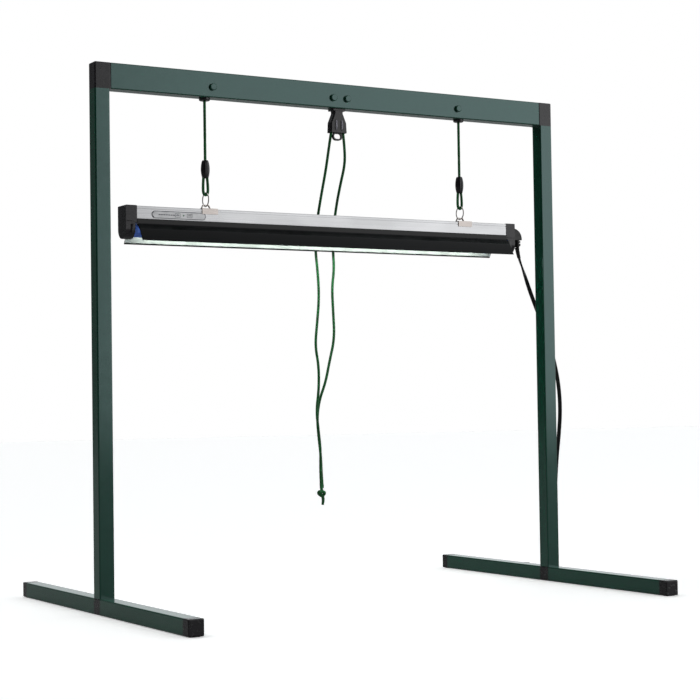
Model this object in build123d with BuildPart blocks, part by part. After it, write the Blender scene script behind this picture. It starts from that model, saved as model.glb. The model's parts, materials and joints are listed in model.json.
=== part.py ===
from build123d import *
import os
from math import pi, radians, tan

# Hanging grow light on a free-standing frame, in millimetres.
# X runs along the crossbar, Y to the back, Z up. Origin: floor, centre of the stand.

# ---------------------------------------------------------------- stand
span = 680.0             # outer width across the two uprights
stand_height = 663.0     # floor to the top of the crossbar
foot_length = 511.0      # each foot, front to back, with its caps
tube = 19.25             # square tube, 3/4 inch over the paint
wall = 1.2               # wall of every steel tube
tube_corner = 1.5        # rounding of the tube's edges
bar_height = 32.0        # crossbar, 3/4 by 1-1/4 inch
pad = 0.6                # feet stand on low pads under their caps
elbow_width = 21.2       # corner connector, along the crossbar
spigot_gap = 0.2         # between a connector's spigot and the tube around it
spigot_reach = 26.0
cap_length = 14.0
cap_plug = 12.0

# ---------------------------------------------------------------- cord system
cord_d = 3.2             # braided hanging cord
pulley_pitch = 7.0       # radius of the cord's centre line on a pulley
pulley_rim = 9.0
pulley_width = 9.0
pin_radius = 2.0
pin_head_radius = 4.5
pin_head = 3.6
pin_z = 644.0
outer_pin_x = 183.3
inner_pin_x = 10.3
running_gap = 0.06       # pulley on its pin, all round
soft_gap = 0.3           # cord to any face that it runs over
flange_radius = 7.0      # cord bushings under the crossbar
flange_height = 3.5

# ---------------------------------------------------------------- cord lock
lock_bottom = 600.0
lock_shoulder = 613.0
lock_neck = 625.0
lock_depth = 11.0
lock_half_width = 12.1   # at its lower edge
lock_waist = 6.4
lock_flange = (20.4, 12.6)
lock_slot = (17.0, 9.0)  # in the crossbar
lock_seat = (16.6, 8.6)  # boss in that slot
grip_ribs = (4.2, 14.0, 3.2)       # distance from the middle, length and width
tail_exit_x = 9.0
wedge_top = 622.0
wedge_depth = 3.8
ring_bottom = 590.3
ring_width = 14.0
ring_hole = (10.6, 6.6)

# ---------------------------------------------------------------- light
light_x = -15.2          # the fixture hangs a little to the left of the middle
housing_length = 546.0
housing_width = 24.0
housing_top = 491.0
housing_bottom = 471.3
housing_wall = 1.3
groove_z = 487.3         # slot that the spring clips snap into
board_rails = (474.9, 477.9)       # heights of the ribs that hold the driver board
end_cap_length = 14.5
cap_top = 491.7
cap_bottom = 451.0
block_bottom = 470.3     # above this the cap covers the housing's end
cap_plug_z = 484.0       # middle of the plug that each end cap pushes into the housing
socket_z = 478.6         # power inlet in the right end cap
socket_depth = 12.0
holder_length = 12.0
lamp_z = 461.7           # axis of the lamp
lamp_radius = 8.0        # T5 format
lamp_length = 549.0      # between the faces of its two bases
hang_x = 190.3           # drop of each hanging cord
bead_top = 553.0
bead_length = 22.0
hoop_z = 504.0           # centre of the wire ring
hoop_radius = 8.55
hoop_wire = 0.7
wing_reach = 29.0        # reflector, half width at its lower edge
wing_bottom = 448.0
lip_top = 475.5          # reflector's lip on the side of the housing
lip_bottom = 469.2
clip_length = 21.5
clip_skin = 0.8
clip_bottom = 484.5
bridge_top = 497.5       # raised middle of the clip, above the ring
label_x = -232.6
label_z = 481.3
label_size = (72.6, 9.2)

# ---------------------------------------------------------------- power cord
lead_d = 5.0             # plain round stand-in for a 5.6 by 3.2 flat lead
lead_exit = (284.3, 0.0, 461.0)    # lower end of the connector's neck
hank_x = 366.0
hank_y = 130.0
hank_length = 108.0
hank_width = 45.6
hank_hole = 22.4
hank_height = 11.4
tie_thickness = 0.8
plug_size = (22.0, 27.0, 12.5)
plug_x = 358.0
plug_start = 212.0

half_span = span / 2
upright_x = half_span - tube / 2
foot_top = pad + tube
foot_z = pad + tube / 2
bar_bottom = stand_height - bar_height
bar_end = half_span - elbow_width
half_foot = foot_length / 2
tube_inside = tube - 2 * wall
spigot = tube_inside - 2 * spigot_gap
light_left = light_x - housing_length / 2
light_ends = housing_length / 2 + end_cap_length

os.makedirs("parts", exist_ok=True)


def save(builder, label):
    """Name one finished piece and write it to its own file."""
    builder.part.label = label
    export_step(builder.part, f"parts/{label}.step")


def along_y(x, y, z):
    """Plane that looks towards +Y, with X across."""
    return Plane(origin=(x, y, z), x_dir=(1, 0, 0), z_dir=(0, 1, 0))


def along_x(x, y, z):
    """Plane that looks towards +X, with Y across and Z up."""
    return Plane(origin=(x, y, z), x_dir=(0, 1, 0), z_dir=(1, 0, 0))


def square_tube(plane, across, height, length):
    """Hollow rectangular tube, extruded from a plane."""
    with BuildPart() as made:
        with BuildSketch(plane):
            RectangleRounded(across, height, tube_corner)
            RectangleRounded(across - 2 * wall, height - 2 * wall, tube_corner - wall, mode=Mode.SUBTRACT)
        extrude(amount=length)
    return made


def hollow_spigot(plane, across, height):
    """Plug of a connector, open at its far end, which a tube slides over."""
    skin = 2.2
    with BuildPart() as plug:
        with BuildSketch(plane):
            RectangleRounded(across, height, 1.0)
        extrude(amount=spigot_reach)
        with BuildSketch(plane.offset(1.0)):
            Rectangle(across - 2 * skin, height - 2 * skin)
        extrude(amount=spigot_reach, mode=Mode.SUBTRACT)
    return plug.part


# ================================================================ stand
def make_upright(side, label):
    plane = Plane.XY.offset(foot_top).shift_origin((side * upright_x, 0, foot_top))
    save(square_tube(plane, tube, tube, bar_bottom - foot_top), label)


def make_elbow(side, label):
    """Corner connector between the crossbar and an upright."""
    bar_plane = Plane(origin=(side * bar_end, 0, bar_bottom + bar_height / 2),
                      x_dir=(0, 1, 0), z_dir=(-side, 0, 0))
    down_plane = Plane(origin=(side * upright_x, 0, bar_bottom), x_dir=(1, 0, 0), z_dir=(0, 0, -1))
    bar_spigot = hollow_spigot(bar_plane, spigot, bar_height - 2 * wall - 2 * spigot_gap)
    down_spigot = hollow_spigot(down_plane, spigot, spigot)
    with BuildPart() as elbow:
        with BuildSketch(Plane.XY.offset(bar_bottom)):
            with Locations((side * (half_span - elbow_width / 2), 0)):
                RectangleRounded(elbow_width, tube, tube_corner)
        extrude(amount=bar_height)
        fillet(elbow.faces().sort_by(Axis.Z)[-1].edges(), 1.2)
        add(bar_spigot)
        add(down_spigot)
    save(elbow, label)


def make_tee(side, label):
    """Connector block between the two foot tubes and the upright."""
    x = side * upright_x
    planes = (along_y(x, tube / 2, foot_z),
              Plane(origin=(x, -tube / 2, foot_z), x_dir=(1, 0, 0), z_dir=(0, -1, 0)),
              Plane(origin=(x, 0, foot_top), x_dir=(1, 0, 0), z_dir=(0, 0, 1)))
    spigots = [hollow_spigot(plane, spigot, spigot) for plane in planes]
    with BuildPart() as tee:
        with BuildSketch(along_y(x, -tube / 2, foot_z)):
            RectangleRounded(tube, tube, tube_corner)
        extrude(amount=tube)
        add(spigots)
    save(tee, label)


def make_foot_tube(side, end, label):
    length = half_foot - cap_length - tube / 2
    start = tube / 2 if end > 0 else -tube / 2 - length
    save(square_tube(along_y(side * upright_x, start, foot_z), tube, tube, length), label)


def foot_cap(x, end):
    """Moulded cap that plugs one end of a foot, with a low pad below."""
    face = Plane(origin=(x, end * (half_foot - cap_length), foot_z), x_dir=(1, 0, 0), z_dir=(0, end, 0))
    with BuildPart() as cap:
        with BuildSketch(face):
            RectangleRounded(tube, tube, tube_corner)
        extrude(amount=cap_length)
        outer = cap.faces().sort_by(Axis.Y)[-1 if end > 0 else 0]
        fillet(outer.edges(), 1.4)
        with BuildSketch(face):
            RectangleRounded(spigot, spigot, 1.0)
        extrude(amount=-cap_plug)
        with BuildSketch(face.offset(-3.0)):
            Rectangle(spigot - 5, spigot - 5)
        extrude(amount=-cap_plug, mode=Mode.SUBTRACT)
        with BuildSketch(Plane.XY):
            with Locations((x, end * (half_foot - cap_length / 2))):
                RectangleRounded(13.0, 9.0, 2.0)
        extrude(amount=pad + 1.0)
    return cap.part


def make_foot_caps(side, label):
    """The two caps of one foot."""
    pair = [foot_cap(side * upright_x, end) for end in (-1, 1)]
    with BuildPart() as caps:
        add(pair)
    save(caps, label)


def make_crossbar():
    """Rectangular tube, drilled for pulley pins, cord bushings and the cord lock."""
    bar_plane = along_x(-bar_end, 0, bar_bottom + bar_height / 2)
    pin_holes = [(s * x, pin_z) for s in (-1, 1) for x in (inner_pin_x, outer_pin_x)]
    with BuildPart() as crossbar:
        with BuildSketch(bar_plane):
            RectangleRounded(tube, bar_height, tube_corner)
            RectangleRounded(tube - 2 * wall, bar_height - 2 * wall, tube_corner - wall, mode=Mode.SUBTRACT)
        extrude(amount=2 * bar_end)
        with BuildSketch(Plane.XZ):
            with Locations(*pin_holes):
                Circle(pin_radius + 0.05)
        extrude(amount=tube, both=True, mode=Mode.SUBTRACT)
        with BuildSketch(Plane.XY.offset(bar_bottom - 1)):
            with Locations((-hang_x, 0), (hang_x, 0)):
                Circle(4.6)
            Rectangle(*lock_slot)
        extrude(amount=wall + 2, mode=Mode.SUBTRACT)
    save(crossbar, "crossbar")


def pulley_centres():
    return [(-outer_pin_x, pin_z), (-inner_pin_x, pin_z), (inner_pin_x, pin_z), (outer_pin_x, pin_z)]


def make_pulley_pins():
    """Four headed pins through the crossbar, one axle for each pulley."""
    reach = tube / 2
    with BuildPart() as pins:
        with BuildSketch(Plane.XZ):
            with Locations(*pulley_centres()):
                Circle(pin_radius)
        extrude(amount=reach, both=True)
        for way in (-1, 1):
            with BuildSketch(Plane.XZ.offset(way * reach)):
                with Locations(*pulley_centres()):
                    Circle(pin_head_radius)
            extrude(amount=way * pin_head)
        rims = pins.edges().filter_by(GeomType.CIRCLE).filter_by(lambda e: e.radius > pin_radius + 1)
        chamfer([e for e in rims if abs(e.center().Y) > reach + pin_head / 2], 0.9)
    save(pins, "pulley_pins")


def make_pulley_spacers():
    """Short sleeves that keep each pulley in the middle of the crossbar."""
    start = pulley_width / 2 + 0.25
    length = tube_inside / 2 - start - 0.15
    with BuildPart() as spacers:
        for way in (-1, 1):
            with BuildSketch(Plane.XZ.offset(way * start)):
                with Locations(*pulley_centres()):
                    Circle(3.6)
                    Circle(pin_radius + 0.1, mode=Mode.SUBTRACT)
            extrude(amount=way * length)
    save(spacers, "pulley_spacers")


def make_pulley(x, label):
    """Grooved wheel that turns on a pin along Y."""
    half = pulley_width / 2
    groove = cord_d / 2 + soft_gap
    with BuildPart() as pulley:
        with BuildSketch(Plane(origin=(x, 0, pin_z), x_dir=(1, 0, 0), z_dir=(0, 0, 1))):
            with BuildLine():
                Polyline((pulley_pitch, groove), (pulley_rim, groove + 0.9), (pulley_rim, half),
                         (pin_radius + running_gap, half), (pin_radius + running_gap, -half),
                         (pulley_rim, -half), (pulley_rim, -groove - 0.9), (pulley_pitch, -groove))
                ThreePointArc((pulley_pitch, -groove), (pulley_pitch - groove, 0), (pulley_pitch, groove))
            make_face()
        revolve(axis=Axis((x, 0, pin_z), (0, 1, 0)))
    save(pulley, label)


def make_bushing(x, label):
    """Flanged bushing that guides a cord through the crossbar's lower wall."""
    inside = cord_d / 2 + 0.6
    with BuildPart() as bushing:
        with BuildSketch(Plane.XY.offset(bar_bottom - flange_height)):
            with Locations((x, 0)):
                Circle(flange_radius)
        extrude(amount=flange_height)
        fillet(bushing.faces().sort_by(Axis.Z)[0].edges(), 1.6)
        with BuildSketch(Plane.XY.offset(bar_bottom)):
            with Locations((x, 0)):
                Circle(4.5)
        extrude(amount=wall)
        with BuildSketch(Plane.XY.offset(bar_bottom + wall)):
            with Locations((x, 0)):
                Circle(5.2)
        extrude(amount=0.8)
        with BuildSketch(Plane.XY.offset(bar_bottom - flange_height)):
            with Locations((x, 0)):
                Circle(inside)
        extrude(amount=flange_height + wall + 2, mode=Mode.SUBTRACT)
    save(bushing, label)


# ================================================================ cord lock
def lock_cord_x(z):
    """Centre line of either cord inside the lock, as a distance from the middle."""
    top_x = inner_pin_x - pulley_pitch
    return top_x + (tail_exit_x - top_x) * (lock_neck + 1 - z) / (lock_neck + 1 - lock_bottom)


def make_lock_body():
    """Housing under the crossbar, with a cavity that narrows upwards."""
    side_gap = cord_d / 2 + soft_gap
    cord_slot = cord_d + 2 * soft_gap + 0.4
    with BuildPart() as lock:
        with BuildSketch(Plane.XZ):
            with BuildLine():
                Polyline((-lock_half_width, lock_bottom), (lock_half_width, lock_bottom),
                         (lock_half_width - 0.7, lock_shoulder), (lock_waist, lock_neck),
                         (lock_waist, bar_bottom - 2), (-lock_waist, bar_bottom - 2), (-lock_waist, lock_neck),
                         (0.7 - lock_half_width, lock_shoulder), close=True)
            make_face()
        extrude(amount=lock_depth / 2, both=True)
        fillet(lock.edges().filter_by(Axis.Z, tolerance=30), 1.6)
        with BuildSketch(Plane.XY.offset(bar_bottom - 2.5)):
            RectangleRounded(*lock_flange, 2.0)
        extrude(amount=2.5)
        with BuildSketch(Plane.XY.offset(bar_bottom)):
            Rectangle(*lock_seat)
        extrude(amount=wall)
        rib_x, rib_length, rib_width = grip_ribs
        for x in (-rib_x, rib_x):
            with BuildSketch(Plane.XZ.offset(lock_depth / 2 - 0.5)):
                with Locations((x, 610)):
                    SlotOverall(rib_length, rib_width, rotation=90)
            extrude(amount=1.2)
        low = lock_cord_x(lock_bottom - 1) + side_gap
        high = lock_cord_x(lock_neck + 1) + side_gap
        with BuildSketch(Plane.XZ):
            with BuildLine():
                Polyline((-low, lock_bottom - 1), (low, lock_bottom - 1), (high, lock_neck + 1),
                         (high, bar_bottom + 3), (-high, bar_bottom + 3), (-high, lock_neck + 1), close=True)
            make_face()
        extrude(amount=cord_slot / 2, both=True, mode=Mode.SUBTRACT)
    save(lock, "lock_body")


def make_lock_wedge():
    """Wedge that pinches both cords, with its pull ring below the housing."""
    side_gap = cord_d / 2 + soft_gap
    top_x = lock_cord_x(wedge_top) - side_gap - 0.1
    low_z = lock_bottom + 3
    low_x = lock_cord_x(low_z) - side_gap - 0.1
    with BuildPart() as wedge:
        with BuildSketch(Plane.XZ):
            with BuildLine():
                Polyline((-low_x, low_z), (low_x, low_z), (top_x, wedge_top), (-top_x, wedge_top), close=True)
            make_face()
            with Locations((0, lock_bottom + 1)):
                Rectangle(7.6, 5)
            with Locations((0, (ring_bottom + lock_bottom + 1) / 2)):
                RectangleRounded(ring_width, lock_bottom + 1 - ring_bottom, 5.2)
                RectangleRounded(*ring_hole, 3.2, mode=Mode.SUBTRACT)
        extrude(amount=wedge_depth / 2, both=True)
    save(wedge, "lock_wedge")


# ================================================================ cords
def corner_radii(points):
    """Largest fair arc at each inner point of a route: 0.45 of the shorter run."""
    found = []
    for a, b, c in zip(points, points[1:], points[2:]):
        before = Vector(*b) - Vector(*a)
        after = Vector(*c) - Vector(*b)
        turn = radians(before.get_angle(after))
        found.append(0.45 * min(before.length, after.length) / tan(turn / 2))
    return found


def make_cord(points, diameter, label, radii=None):
    """Round cord along straight runs that are joined by tangent arcs."""
    radii = radii or corner_radii(points)
    with BuildPart() as cord:
        with BuildLine() as route:
            if len(points) > 2:
                FilletPolyline(*points, radius=radii)
            else:
                Line(*points)
        path = route.wire()
        with BuildSketch(Plane(origin=path @ 0, z_dir=path % 0)):
            Circle(diameter / 2)
        sweep()
    length = sum(edge.length for edge in route.edges())
    expected = pi * (diameter / 2) ** 2 * length
    print(f"{label}: length {length:.1f}, volume ratio {cord.part.volume / expected:.4f}, radii",
          [round(r, 1) for r in radii])
    save(cord, label)


def make_bar_cord(side, label):
    """Hanging cord inside the crossbar, over two pulleys and down through the lock."""
    top = pin_z + pulley_pitch
    inner = inner_pin_x - pulley_pitch
    points = [(side * hang_x, 0, bar_bottom - flange_height), (side * hang_x, 0, top),
              (side * inner, 0, top), (side * inner, 0, lock_neck + 1), (side * tail_exit_x, 0, lock_bottom)]
    make_cord(points, cord_d, label, [pulley_pitch, pulley_pitch, 40.0])


def make_drop_cord(side, label):
    make_cord([(side * hang_x, 0, bar_bottom - flange_height), (side * hang_x, 0, bead_top)], cord_d, label)


left_tail = [(-9.0, 0, 600), (-9.0, 7, 579), (-6.4, 20, 553), (-6.6, 33, 521), (-8.8, 41.5, 487),
             (-10.4, 44, 453), (-6.4, 44.6, 421), (-5.4, 44, 388), (-8.8, 44.4, 354), (-12.4, 44, 325),
             (-7.2, 44.4, 299), (-7.6, 44, 268), (-11.6, 44.6, 240), (-8.6, 45, 214), (-5.4, 45.6, 188),
             (-6.6, 45, 162), (-6.0, 44.6, 138)]
right_tail = [(9.0, 0, 600), (13.6, 4.5, 583), (18.2, 12, 562), (17.6, 23, 538), (17.4, 34, 512),
              (17.0, 41.5, 484), (16.6, 44.4, 454), (18.6, 44.8, 427), (14.4, 44.2, 402), (16.0, 44.6, 370),
              (17.4, 44.4, 335), (9.8, 45.6, 304), (4.6, 47.4, 277), (-4.2, 49.2, 254), (-7.6, 50.2, 230),
              (-5.2, 50.6, 204), (-2.4, 50.2, 178), (-2.6, 49.4, 158), (-1.6, 48.4, 138)]


def make_tail_knot():
    """Overhand knot that ties both cord ends together."""
    with BuildPart() as knot:
        with BuildSketch(Plane.XZ.offset(-46.5)):
            with Locations((-3.8, 131)):
                Ellipse(6.2, 7.0)
        extrude(amount=4.4, both=True)
        fillet(knot.edges(), 3.0)
    save(knot, "tail_knot")


def make_bead(side, label):
    """Barrel bead that grips the cord's loop."""
    x = side * hang_x
    low = bead_top - bead_length
    with BuildPart() as bead:
        with BuildSketch(Plane(origin=(x, 0, low), x_dir=(1, 0, 0), z_dir=(0, -1, 0))):
            with BuildLine():
                Polyline((4.3, 0), (0, 0), (0, bead_length), (3.8, bead_length))
                ThreePointArc((3.8, bead_length), (5.6, bead_length * 0.52), (4.3, 0))
            make_face()
        revolve(axis=Axis((x, 0, 0), (0, 0, 1)))
        with BuildSketch(Plane.XY.offset(low)):
            with Locations((x, 0)):
                Circle(cord_d / 2 + soft_gap)
        extrude(amount=bead_length, mode=Mode.SUBTRACT)
        with BuildSketch(Plane.XY.offset(low)):
            with Locations((x, 0)):
                SlotOverall(7.6, cord_d + 2 * soft_gap)
        extrude(amount=bead_length - 6, mode=Mode.SUBTRACT)
    save(bead, label)


def make_cord_loop(side, label):
    """End of a hanging cord: out of the bead, round the wire ring and back."""
    x = side * hang_x
    low = hoop_z + hoop_radius - hoop_wire - soft_gap - cord_d / 2
    half = 3.3
    points = [(x, 0, bead_top), (x, 0, bead_top - 6), (x - 1.85, 0, bead_top - 15),
              (x - half, 0, bead_top - 29), (x - half, 0, low), (x + half, 0, low),
              (x + half, 0, bead_top - 29), (x + 1.85, 0, bead_top - 17)]
    make_cord(points, cord_d, label, [12.0, 30.0, 40.0, 3.2, 3.2, 40.0])


# ================================================================ light
def make_hoop(side, label):
    with BuildPart() as hoop:
        with BuildSketch(Plane(origin=(side * hang_x, 0, hoop_z), x_dir=(0, 1, 0), z_dir=(0, 0, 1))):
            with Locations((hoop_radius, 0)):
                Circle(hoop_wire)
        revolve(axis=Axis((side * hang_x, 0, hoop_z), (1, 0, 0)))
    save(hoop, label)


def make_clip(side, label):
    """Spring clip over the housing, with a raised bridge that the ring passes under."""
    x = side * hang_x
    out = housing_width / 2 + 0.15 + clip_skin
    inside = out - clip_skin
    top = housing_top + 0.1
    low = clip_bottom
    bead = 0.7           # half height of the ridge that snaps into the housing's groove
    half = [(out, top + clip_skin), (out, low), (inside, low), (inside, groove_z - bead),
            (inside - 0.6, groove_z), (inside, groove_z + bead), (inside, top)]
    other = [(-y, z) for y, z in reversed(half)]
    with BuildPart() as clip:
        with BuildSketch(along_x(x - clip_length / 2, 0, 0)):
            with BuildLine():
                Polyline(*half, *other, close=True)
            make_face()
        extrude(amount=clip_length)
        with BuildSketch(Plane.XZ):
            with BuildLine():
                Polyline((x - 7.2, top), (x - 4.0, bridge_top), (x + 4.0, bridge_top), (x + 7.2, top), close=True)
            make_face()
            with BuildLine():
                Polyline((x - 6.2, top + clip_skin), (x - 3.4, bridge_top - clip_skin),
                         (x + 3.4, bridge_top - clip_skin), (x + 6.2, top + clip_skin), close=True)
            make_face(mode=Mode.SUBTRACT)
        extrude(amount=1.6, both=True)
    save(clip, label)


def make_housing():
    """Aluminium extrusion: closed box section with clip grooves and rails for the driver board."""
    height = housing_top - housing_bottom
    middle = (housing_top + housing_bottom) / 2
    inner = housing_width / 2 - housing_wall
    with BuildPart() as housing:
        with BuildSketch(along_x(light_left, 0, 0)):
            with Locations((0, middle)):
                RectangleRounded(housing_width, height, 0.9)
                RectangleRounded(2 * inner, height - 2 * housing_wall, 0.6, mode=Mode.SUBTRACT)
            for way in (-1, 1):
                with Locations((way * housing_width / 2, groove_z)):
                    Rectangle(1.4, 1.1, mode=Mode.SUBTRACT)
                for rail_z in board_rails:
                    with Locations((way * (inner - 0.6), rail_z)):
                        Rectangle(1.4, 0.8)
        extrude(amount=housing_length)
    save(housing, "light_housing")


def make_reflector():
    """Channel that snaps over the housing's lower edge, with two flared wings."""
    inner = housing_width / 2 + 0.1
    outer = inner + 1.0
    web = lamp_z + lamp_radius + 0.55
    half = [(inner, web + 0.8), (inner, lip_top), (outer, lip_top), (outer, lip_bottom), (20.8, 462.2),
            (wing_reach, wing_bottom), (wing_reach - 0.9, wing_bottom - 0.5), (20.0, 461.5),
            (12.2, 468.6), (inner - 1.4, web)]
    other = [(-y, z) for y, z in reversed(half)]
    with BuildPart() as reflector:
        with BuildSketch(along_x(light_left, 0, 0)):
            with BuildLine():
                Polyline(*half, *other, close=True)
            make_face()
        extrude(amount=housing_length)
    save(reflector, "reflector")


def make_end_cap(way, label):
    """Moulded end: a block that plugs the housing, and a lampholder with a round lower end."""
    inner_face = light_x + way * housing_length / 2
    outer_face = light_x + way * light_ends
    holder_face = outer_face - way * holder_length
    half = housing_width / 2 + 0.4
    round_z = cap_bottom + half
    overlap_top = block_bottom + 1.7
    with BuildPart() as cap:
        with BuildSketch(along_x(inner_face, 0, (cap_top + block_bottom) / 2)):
            Rectangle(2 * half, cap_top - block_bottom)
        extrude(amount=way * end_cap_length)
        with BuildSketch(along_x(holder_face, 0, 0)):
            with Locations((0, (round_z + overlap_top) / 2)):
                Rectangle(2 * half, overlap_top - round_z)
            with Locations((0, round_z)):
                Circle(half)
        extrude(amount=way * holder_length)
        fillet(cap.faces().sort_by(Axis.Z)[-1].edges(), 1.0)
        with BuildSketch(along_x(inner_face, 0, cap_plug_z)):
            RectangleRounded(20.4, 10.4, 0.8)
        extrude(amount=-way * 7)
        with BuildSketch(along_x(inner_face - way * 7, 0, cap_plug_z)):
            Rectangle(17.0, 7.4)
        extrude(amount=way * 19, mode=Mode.SUBTRACT)
        with BuildSketch(along_x(holder_face, 0, lamp_z)):
            Circle(6.2)
            with Locations((0, -8)):
                Rectangle(3.2, 16)
        extrude(amount=way * 8.4, mode=Mode.SUBTRACT)
        if way > 0:
            with BuildSketch(along_x(outer_face - socket_depth, 0, socket_z)):
                RectangleRounded(14.4, 7.0, 2.1)
            extrude(amount=socket_depth, mode=Mode.SUBTRACT)
    save(cap, label)


def make_label_plate():
    """Blank oval plate on the front of the housing."""
    with BuildPart() as plate:
        with BuildSketch(Plane.XZ.offset(housing_width / 2)):
            with Locations((label_x, label_z)):
                RectangleRounded(*label_size, label_size[1] / 2 - 0.05)
        extrude(amount=0.12)
    save(plate, "label_plate")


def make_driver_board():
    low = sum(board_rails) / 2 - 0.7
    with BuildPart() as board:
        with BuildSketch(Plane.XY.offset(low)):
            with Locations((light_x, 0)):
                Rectangle(400, 20.4)
        extrude(amount=1.5)
    save(board, "driver_board")


def make_driver_parts():
    """Parts soldered on the driver board: choke, transformer, switches and capacitors."""
    top = sum(board_rails) / 2 + 0.8
    blocks = ((-150, 14, 12, 9), (-95, 18, 15, 10.5), (-40, 8, 10, 8), (20, 22, 16, 11), (75, 10, 6, 9),
              (150, 16, 9, 7))
    cans = ((-120, 4.5, 10.5), (-65, 4.0, 9.5), (-10, 3.2, 9.0), (50, 5.0, 11.0), (110, 4.0, 10.0))
    with BuildPart() as parts:
        for x, length, across, height in blocks:
            with BuildSketch(Plane.XY.offset(top)):
                with Locations((light_x + x, 0)):
                    Rectangle(length, across)
            extrude(amount=height)
        for x, radius, height in cans:
            with BuildSketch(Plane.XY.offset(top)):
                with Locations((light_x + x, 2.5)):
                    Circle(radius)
            extrude(amount=height)
    save(parts, "driver_parts")


def make_inlet_socket():
    """Socket inside the right end cap, behind the power connector."""
    face = light_x + light_ends
    with BuildPart() as socket:
        with BuildSketch(along_x(face - socket_depth + 0.1, 0, socket_z)):
            RectangleRounded(14.0, 6.6, 2.0)
        extrude(amount=socket_depth - 0.2)
    save(socket, "inlet_socket")


def make_power_connector():
    """Right-angle connector with a quarter-round hood and a ribbed neck."""
    face = light_x + light_ends
    reach = 17.0
    hood_top = 486.0
    hood_low = 470.4
    x, y, z = lead_exit
    with BuildPart() as connector:
        with BuildSketch(Plane.XZ):
            with BuildLine():
                Polyline((face, hood_top), (face, hood_low + 3), (face + 5, hood_low),
                         (face + reach, hood_low), (face + reach, 474.0))
                ThreePointArc((face + reach, 474.0), (face + 12.4, 482.6), (face, hood_top))
            make_face()
        extrude(amount=6.0, both=True)
        fillet(connector.edges().filter_by(GeomType.CIRCLE), 2.0)
        for low, high, radius in ((z, hood_low, 3.4), (462.5, 465.6, 4.9), (467.0, 469.2, 4.9)):
            with BuildSketch(Plane.XY.offset(low)):
                with Locations((x, y)):
                    Circle(radius)
            extrude(amount=high - low)
    save(connector, "power_connector")


# ================================================================ lamp
def lamp_plane(x):
    return along_x(x, 0, lamp_z)


def make_lamp_tube():
    half = lamp_length / 2 - 8
    with BuildPart() as glass:
        with BuildSketch(lamp_plane(light_x - half)):
            Circle(lamp_radius)
            Circle(lamp_radius - 0.8, mode=Mode.SUBTRACT)
        extrude(amount=2 * half)
    save(glass, "lamp_tube")


def make_lamp_bases():
    """Two coloured moulded plugs, each with a sleeve over the end of the lamp."""
    half = lamp_length / 2
    with BuildPart() as bases:
        for way in (-1, 1):
            with BuildSketch(lamp_plane(light_x + way * half)):
                Circle(lamp_radius + 0.25)
            extrude(amount=-way * 8)
            with BuildSketch(lamp_plane(light_x + way * (half - 8))):
                Circle(lamp_radius - 0.95)
            extrude(amount=-way * 5)
            with BuildSketch(lamp_plane(light_x + way * (half - 8))):
                Circle(lamp_radius + 0.25)
                Circle(lamp_radius + 0.03, mode=Mode.SUBTRACT)
            extrude(amount=-way * 9)
    save(bases, "lamp_bases")


def make_lamp_pins():
    """Two contact pins at each end, 4.75 mm apart."""
    half = lamp_length / 2
    with BuildPart() as pins:
        for way in (-1, 1):
            with BuildSketch(lamp_plane(light_x + way * half)):
                with Locations((-2.375, 0), (2.375, 0)):
                    Circle(1.18)
            extrude(amount=way * 7.1)
    save(pins, "lamp_pins")


def make_lamp_rotors():
    """Slotted rotors of the lampholders, which turn with the lamp."""
    face = light_ends - holder_length
    with BuildPart() as rotors:
        for way in (-1, 1):
            with BuildSketch(lamp_plane(light_x + way * (face + 0.2))):
                Circle(6.12)
                with Locations((-1.4, 0)):
                    Rectangle(10.4, 2.7, mode=Mode.SUBTRACT)
            extrude(amount=way * 7.9)
    save(rotors, "lamp_rotors")


def make_lamp_spine():
    """Aluminium heat spreader in the upper part of the lamp."""
    half = lamp_length / 2 - 14
    with BuildPart() as spine:
        with BuildSketch(lamp_plane(light_x - half)):
            Circle(lamp_radius - 1.0)
            with Locations((0, -3.5)):
                Rectangle(16, 10, mode=Mode.SUBTRACT)
        extrude(amount=2 * half)
    save(spine, "lamp_spine")


def make_led_board():
    half = lamp_length / 2 - 14
    with BuildPart() as board:
        with BuildSketch(lamp_plane(light_x - half)):
            with Locations((0, 0.9)):
                Rectangle(11.0, 1.0)
        extrude(amount=2 * half)
    save(board, "led_board")


def make_led_chips():
    """Row of light-emitting diodes under the board."""
    pitch = 14.0
    count = 37
    with BuildPart() as chips:
        with BuildSketch(Plane.XY.offset(lamp_z + 0.4)):
            with GridLocations(pitch, 1, count, 1):
                with Locations((light_x, 0)):
                    Rectangle(3.5, 2.8)
        extrude(amount=-0.7)
    save(chips, "led_chips")


# ================================================================ power cord
lead_start = (lead_exit[0], lead_exit[1], lead_exit[2] - 0.5)
lead_route = [lead_start, (286.6, 0.8, 449.0), (298.5, 5.6, 429.0), (316.0, 14.5, 401.0), (333.5, 21.0, 373.0),
              (349.5, 23.0, 340.0), (362.0, 23.2, 306.0), (369.0, 22.8, 272.0), (371.5, 23.2, 238.0),
              (368.5, 23.0, 204.0), (363.5, 23.4, 168.0), (360.0, 23.0, 130.0), (359.0, 23.6, 92.0),
              (357.0, 25.0, 62.0), (352.0, 31.0, 30.0), (347.5, 48.0, 9.5), (345.1, 70.0, 3.8), (345.1, 90.0, 3.8)]
plug_lead = [(345.1, 170.0, 9.0), (346.2, 181.0, 8.6), (350.6, 191.8, 7.8), (356.0, 201.2, 6.8),
             (plug_x, plug_start, plug_size[2] / 2)]


def make_hank():
    """Outer shape of the put-away length, folded into an oval beside the foot."""
    straight = hank_length - hank_width
    with BuildPart() as hank:
        with BuildSketch(Plane.XY.offset(tie_thickness + 0.1)):
            with Locations((hank_x, hank_y)):
                SlotCenterToCenter(straight, hank_width, rotation=90)
                SlotCenterToCenter(straight, hank_hole, rotation=90, mode=Mode.SUBTRACT)
        extrude(amount=hank_height)
    save(hank, "power_cord_hank")


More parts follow.
